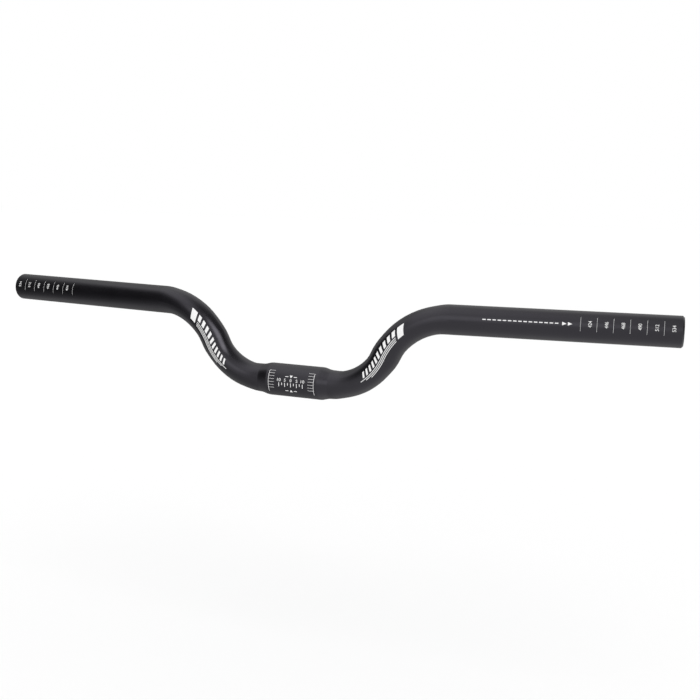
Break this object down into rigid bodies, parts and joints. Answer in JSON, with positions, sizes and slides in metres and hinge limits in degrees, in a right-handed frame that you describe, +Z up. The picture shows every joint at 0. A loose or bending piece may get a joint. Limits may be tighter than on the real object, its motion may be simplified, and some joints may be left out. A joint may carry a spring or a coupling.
{
  "type": "bicycle handlebar",
  "caption": "Riser bicycle handlebar: a bent aluminium tube with a thicker clamp in the middle, bent up and out to straight, slightly swept-back open ends for grips and levers.",
  "frame": {"origin": "middle of the stem clamp, on the tube's axis", "axes": "+X along the clamp and the bar's width, -Y to the front, where the bicycle goes, +Z up"},
  "size_m": [0.562, 0.0428, 0.0805],
  "materials": {
    "bar": "satin black anodised"
  },
  "bodies": {
    "root": {"handlebar": "bar"}
  },
  "joints": []
}
